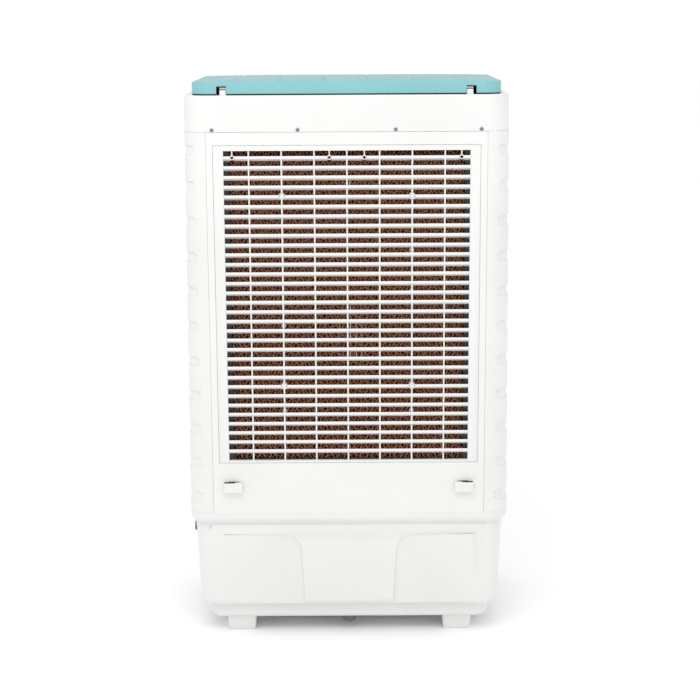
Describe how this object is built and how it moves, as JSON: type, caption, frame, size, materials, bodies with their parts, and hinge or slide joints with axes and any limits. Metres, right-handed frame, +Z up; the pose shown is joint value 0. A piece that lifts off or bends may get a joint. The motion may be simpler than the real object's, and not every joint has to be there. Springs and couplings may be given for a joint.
{
  "type": "evaporative cooler",
  "caption": "Upright plastic evaporative room cooler with a louvred honeycomb pad side, water tank on feet, axial fan, swinging outlet vanes and a hinged top lid.",
  "frame": {"origin": "on the floor, under the middle of the cooler", "axes": "+Z up; the air outlet and controls face -Y; the louvred pad side faces +Y; the water inlet is on the +X side"},
  "size_m": [0.666, 0.464, 1.169],
  "materials": {
    "white_plastic": "moulded, satin gloss",
    "teal_plastic": "moulded, satin gloss",
    "black_plastic": "moulded, matte",
    "grey_plastic": "moulded, matte",
    "clear_plastic": "clear moulded",
    "pad_paper": "corrugated, impregnated",
    "zinc_steel": "zinc plated",
    "steel": "turned",
    "galvanised": "galvanised",
    "motor_paint": "enamelled",
    "hose_rubber": "smooth"
  },
  "bodies": {
    "cooler": {"water_tank": "white_plastic", "level_window": "clear_plastic", "foot_front_left": "white_plastic", "foot_front_right": "white_plastic", "foot_rear_left": "white_plastic", "foot_rear_right": "white_plastic", "inlet_nipple": "black_plastic", "inlet_nut": "black_plastic", "float_valve": "black_plastic", "body_housing": "white_plastic", "cable_gland": "black_plastic", "gland_nut": "black_plastic", "rear_panel": "white_plastic", "rear_grille": "white_plastic", "honeycomb_pad": "pad_paper", "pad_cassette": "black_plastic", "pad_retainers": "white_plastic", "grille_screws": "white_plastic", "pump_strainer": "black_plastic", "pump_body": "black_plastic", "supply_hose": "hose_rubber", "water_distributor": "white_plastic", "fan_shroud": "black_plastic", "motor_body": "motor_paint", "motor_bracket": "galvanised", "outlet_bezel": "teal_plastic", "swing_motor": "black_plastic", "top_cover": "white_plastic", "cover_screws": "zinc_steel", "ice_tray": "white_plastic", "control_fascia": "teal_plastic", "rotary_switches": "black_plastic", "hinge_pins": "steel"},
    "lid": {"lid": "teal_plastic"},
    "fan": {"fan_rotor": "black_plastic", "motor_shaft": "steel", "fan_nut": "steel"},
    "impeller": {"pump_impeller": "black_plastic"},
    "float": {"float_arm": "steel", "float_ball": "white_plastic"},
    "drain_cap": {"drain_cap": "grey_plastic"},
    "rear_latch_left": {"rear_latch_left": "white_plastic"},
    "rear_latch_right": {"rear_latch_right": "white_plastic"},
    "fan_knob": {"fan_knob": "grey_plastic"},
    "pump_knob": {"pump_knob": "grey_plastic"},
    "swing_knob": {"swing_knob": "grey_plastic"},
    "vane_link": {"vane_link": "black_plastic"},
    "deflector_1": {"deflector_1": "white_plastic"},
    "deflector_2": {"deflector_2": "white_plastic"},
    "deflector_3": {"deflector_3": "white_plastic"},
    "deflector_4": {"deflector_4": "white_plastic"},
    "deflector_5": {"deflector_5": "white_plastic"},
    "deflector_6": {"deflector_6": "white_plastic"},
    "deflector_7": {"deflector_7": "white_plastic"},
    "vane_1": {"vane_1": "white_plastic"},
    "vane_2": {"vane_2": "white_plastic"},
    "vane_3": {"vane_3": "white_plastic"},
    "vane_4": {"vane_4": "white_plastic"},
    "vane_5": {"vane_5": "white_plastic"},
    "vane_6": {"vane_6": "white_plastic"}
  },
  "joints": [
    {"name": "lid_hinge", "type": "hinge", "parent": "cooler", "child": "lid", "pos_m": [0, 0.206, 1.15], "axis": [-1, 0, 0], "range_deg": [0, 95]},
    {"name": "fan_spin", "type": "hinge", "parent": "cooler", "child": "fan", "pos_m": [0, 0.047, 0.7455], "axis": [0, -1, 0], "continuous": true},
    {"name": "impeller_spin", "type": "hinge", "parent": "cooler", "child": "impeller", "pos_m": [-0.265, 0.153, 0.047], "axis": [0, 0, 1], "continuous": true},
    {"name": "float_swing", "type": "hinge", "parent": "cooler", "child": "float", "pos_m": [0.27177, 0.09, 0.208], "axis": [0, 1, 0], "range_deg": [0, 38]},
    {"name": "drain_cap_pull", "type": "slide", "parent": "cooler", "child": "drain_cap", "axis": [0, 0, -1], "range_m": [0, 0.012]},
    {"name": "rear_latch_left_slide", "type": "slide", "parent": "cooler", "child": "rear_latch_left", "axis": [0, 0, 1], "range_m": [0, 0.008]},
    {"name": "rear_latch_right_slide", "type": "slide", "parent": "cooler", "child": "rear_latch_right", "axis": [0, 0, 1], "range_m": [0, 0.008]},
    {"name": "fan_knob_turn", "type": "hinge", "parent": "cooler", "child": "fan_knob", "pos_m": [-0.11, -0.222, 1.10075], "axis": [0, 1, 0], "range_deg": [0, 270]},
    {"name": "pump_knob_turn", "type": "hinge", "parent": "cooler", "child": "pump_knob", "pos_m": [0, -0.222, 1.10075], "axis": [0, 1, 0], "range_deg": [0, 90]},
    {"name": "swing_knob_turn", "type": "hinge", "parent": "cooler", "child": "swing_knob", "pos_m": [0.11, -0.222, 1.10075], "axis": [0, 1, 0], "range_deg": [0, 90]},
    {"name": "deflector_1_tilt", "type": "hinge", "parent": "cooler", "child": "deflector_1", "pos_m": [0, -0.192, 0.94221], "axis": [1, 0, 0], "range_deg": [-40, 40]},
    {"name": "deflector_2_tilt", "type": "hinge", "parent": "cooler", "child": "deflector_2", "pos_m": [0, -0.192, 0.87664], "axis": [1, 0, 0], "range_deg": [-40, 40]},
    {"name": "deflector_3_tilt", "type": "hinge", "parent": "cooler", "child": "deflector_3", "pos_m": [0, -0.192, 0.81107], "axis": [1, 0, 0], "range_deg": [-40, 40]},
    {"name": "deflector_4_tilt", "type": "hinge", "parent": "cooler", "child": "deflector_4", "pos_m": [0, -0.192, 0.7455], "axis": [1, 0, 0], "range_deg": [-40, 40]},
    {"name": "deflector_5_tilt", "type": "hinge", "parent": "cooler", "child": "deflector_5", "pos_m": [0, -0.192, 0.67993], "axis": [1, 0, 0], "range_deg": [-40, 40]},
    {"name": "deflector_6_tilt", "type": "hinge", "parent": "cooler", "child": "deflector_6", "pos_m": [0, -0.192, 0.61436], "axis": [1, 0, 0], "range_deg": [-40, 40]},
    {"name": "deflector_7_tilt", "type": "hinge", "parent": "cooler", "child": "deflector_7", "pos_m": [0, -0.192, 0.54879], "axis": [1, 0, 0], "range_deg": [-40, 40]},
    {"name": "vane_1_swing", "type": "hinge", "parent": "cooler", "child": "vane_1", "pos_m": [-0.19125, -0.14, 0.7455], "axis": [0, 0, 1], "range_deg": [-35, 35]},
    {"name": "vane_2_swing", "type": "hinge", "parent": "cooler", "child": "vane_2", "pos_m": [-0.11475, -0.14, 0.7455], "axis": [0, 0, 1], "range_deg": [-35, 35]},
    {"name": "vane_3_swing", "type": "hinge", "parent": "cooler", "child": "vane_3", "pos_m": [-0.03825, -0.14, 0.7455], "axis": [0, 0, 1], "range_deg": [-35, 35]},
    {"name": "vane_4_swing", "type": "hinge", "parent": "cooler", "child": "vane_4", "pos_m": [0.03825, -0.14, 0.7455], "axis": [0, 0, 1], "range_deg": [-35, 35]},
    {"name": "vane_5_swing", "type": "hinge", "parent": "cooler", "child": "vane_5", "pos_m": [0.11475, -0.14, 0.7455], "axis": [0, 0, 1], "range_deg": [-35, 35]},
    {"name": "vane_6_swing", "type": "hinge", "parent": "cooler", "child": "vane_6", "pos_m": [0.19125, -0.14, 0.7455], "axis": [0, 0, 1], "range_deg": [-35, 35]},
    {"name": "vane_link_swing", "type": "hinge", "parent": "vane_4", "child": "vane_link", "pos_m": [0.03825, -0.126, 0.52585], "axis": [0, 0, 1], "range_deg": [-35, 35]}
  ],
  "couplings": [
    {"joint": "vane_1_swing", "follows": "vane_4_swing", "ratio": 1},
    {"joint": "vane_2_swing", "follows": "vane_4_swing", "ratio": 1},
    {"joint": "vane_3_swing", "follows": "vane_4_swing", "ratio": 1},
    {"joint": "vane_5_swing", "follows": "vane_4_swing", "ratio": 1},
    {"joint": "vane_6_swing", "follows": "vane_4_swing", "ratio": 1},
    {"joint": "vane_link_swing", "follows": "vane_4_swing", "ratio": -1}
  ]
}
